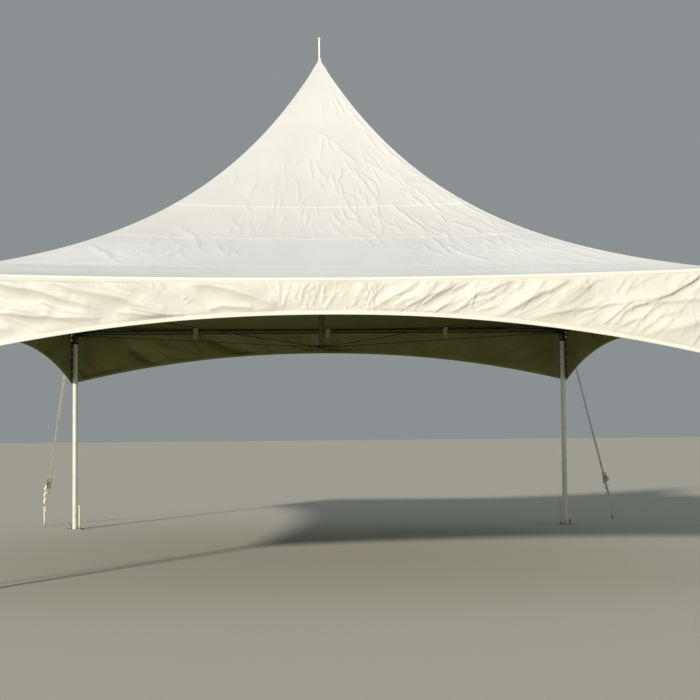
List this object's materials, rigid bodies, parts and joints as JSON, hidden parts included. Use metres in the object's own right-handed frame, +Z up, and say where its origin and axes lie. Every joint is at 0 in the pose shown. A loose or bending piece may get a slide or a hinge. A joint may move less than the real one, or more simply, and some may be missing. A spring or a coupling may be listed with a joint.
{
  "type": "frame marquee tent",
  "caption": "Square high-peak frame marquee, white hollow-sided roof on slim legs, with arched valances, a floating mast on crossed cables, and guy straps.",
  "frame": {"origin": "on the ground, under the peak, midway between the four legs", "axes": "+Z up, -Y out of the front, +X to the right seen from the front"},
  "size_m": [7.6814, 7.6814, 5.2599],
  "materials": {
    "white_vinyl": "block-out PVC-coated polyester, white outside and dark olive inside, semi-matt",
    "mill_aluminium": "extruded tube, mill finish, lightly scuffed",
    "painted_steel_fitting": "welded steel sleeves, dark semi-matt paint",
    "galvanised_wire": "stranded galvanised wire rope with swaged ends",
    "zinc_plated_steel": "zinc plated pressed steel, dulled",
    "polyester_webbing": "woven polyester webbing, off-white",
    "forged_steel": "forged steel bar, rusted"
  },
  "bodies": {
    "root": {"roof_panel_front": "white_vinyl", "valance_front": "white_vinyl", "eave_rail_front": "mill_aluminium", "roof_panel_right": "white_vinyl", "valance_right": "white_vinyl", "eave_rail_right": "mill_aluminium", "roof_panel_back": "white_vinyl", "valance_back": "white_vinyl", "eave_rail_back": "mill_aluminium", "roof_panel_left": "white_vinyl", "valance_left": "white_vinyl", "eave_rail_left": "mill_aluminium", "leg_front_right": "mill_aluminium", "corner_fitting_front_right": "painted_steel_fitting", "base_plate_front_right": "zinc_plated_steel", "mast_cable_front_right": "galvanised_wire", "leg_stake_front_right": "forged_steel", "guy_strap_front_right": "polyester_webbing", "ratchet_front_right": "zinc_plated_steel", "guy_stake_front_right": "forged_steel", "leg_back_right": "mill_aluminium", "corner_fitting_back_right": "painted_steel_fitting", "base_plate_back_right": "zinc_plated_steel", "mast_cable_back_right": "galvanised_wire", "leg_stake_back_right": "forged_steel", "guy_strap_back_right": "polyester_webbing", "ratchet_back_right": "zinc_plated_steel", "guy_stake_back_right": "forged_steel", "leg_back_left": "mill_aluminium", "corner_fitting_back_left": "painted_steel_fitting", "base_plate_back_left": "zinc_plated_steel", "mast_cable_back_left": "galvanised_wire", "leg_stake_back_left": "forged_steel", "guy_strap_back_left": "polyester_webbing", "ratchet_back_left": "zinc_plated_steel", "guy_stake_back_left": "forged_steel", "leg_front_left": "mill_aluminium", "corner_fitting_front_left": "painted_steel_fitting", "base_plate_front_left": "zinc_plated_steel", "mast_cable_front_left": "galvanised_wire", "leg_stake_front_left": "forged_steel", "guy_strap_front_left": "polyester_webbing", "ratchet_front_left": "zinc_plated_steel", "guy_stake_front_left": "forged_steel", "mast": "mill_aluminium", "mast_foot": "painted_steel_fitting", "mast_head": "mill_aluminium", "peak_cap": "white_vinyl"}
  },
  "joints": []
}
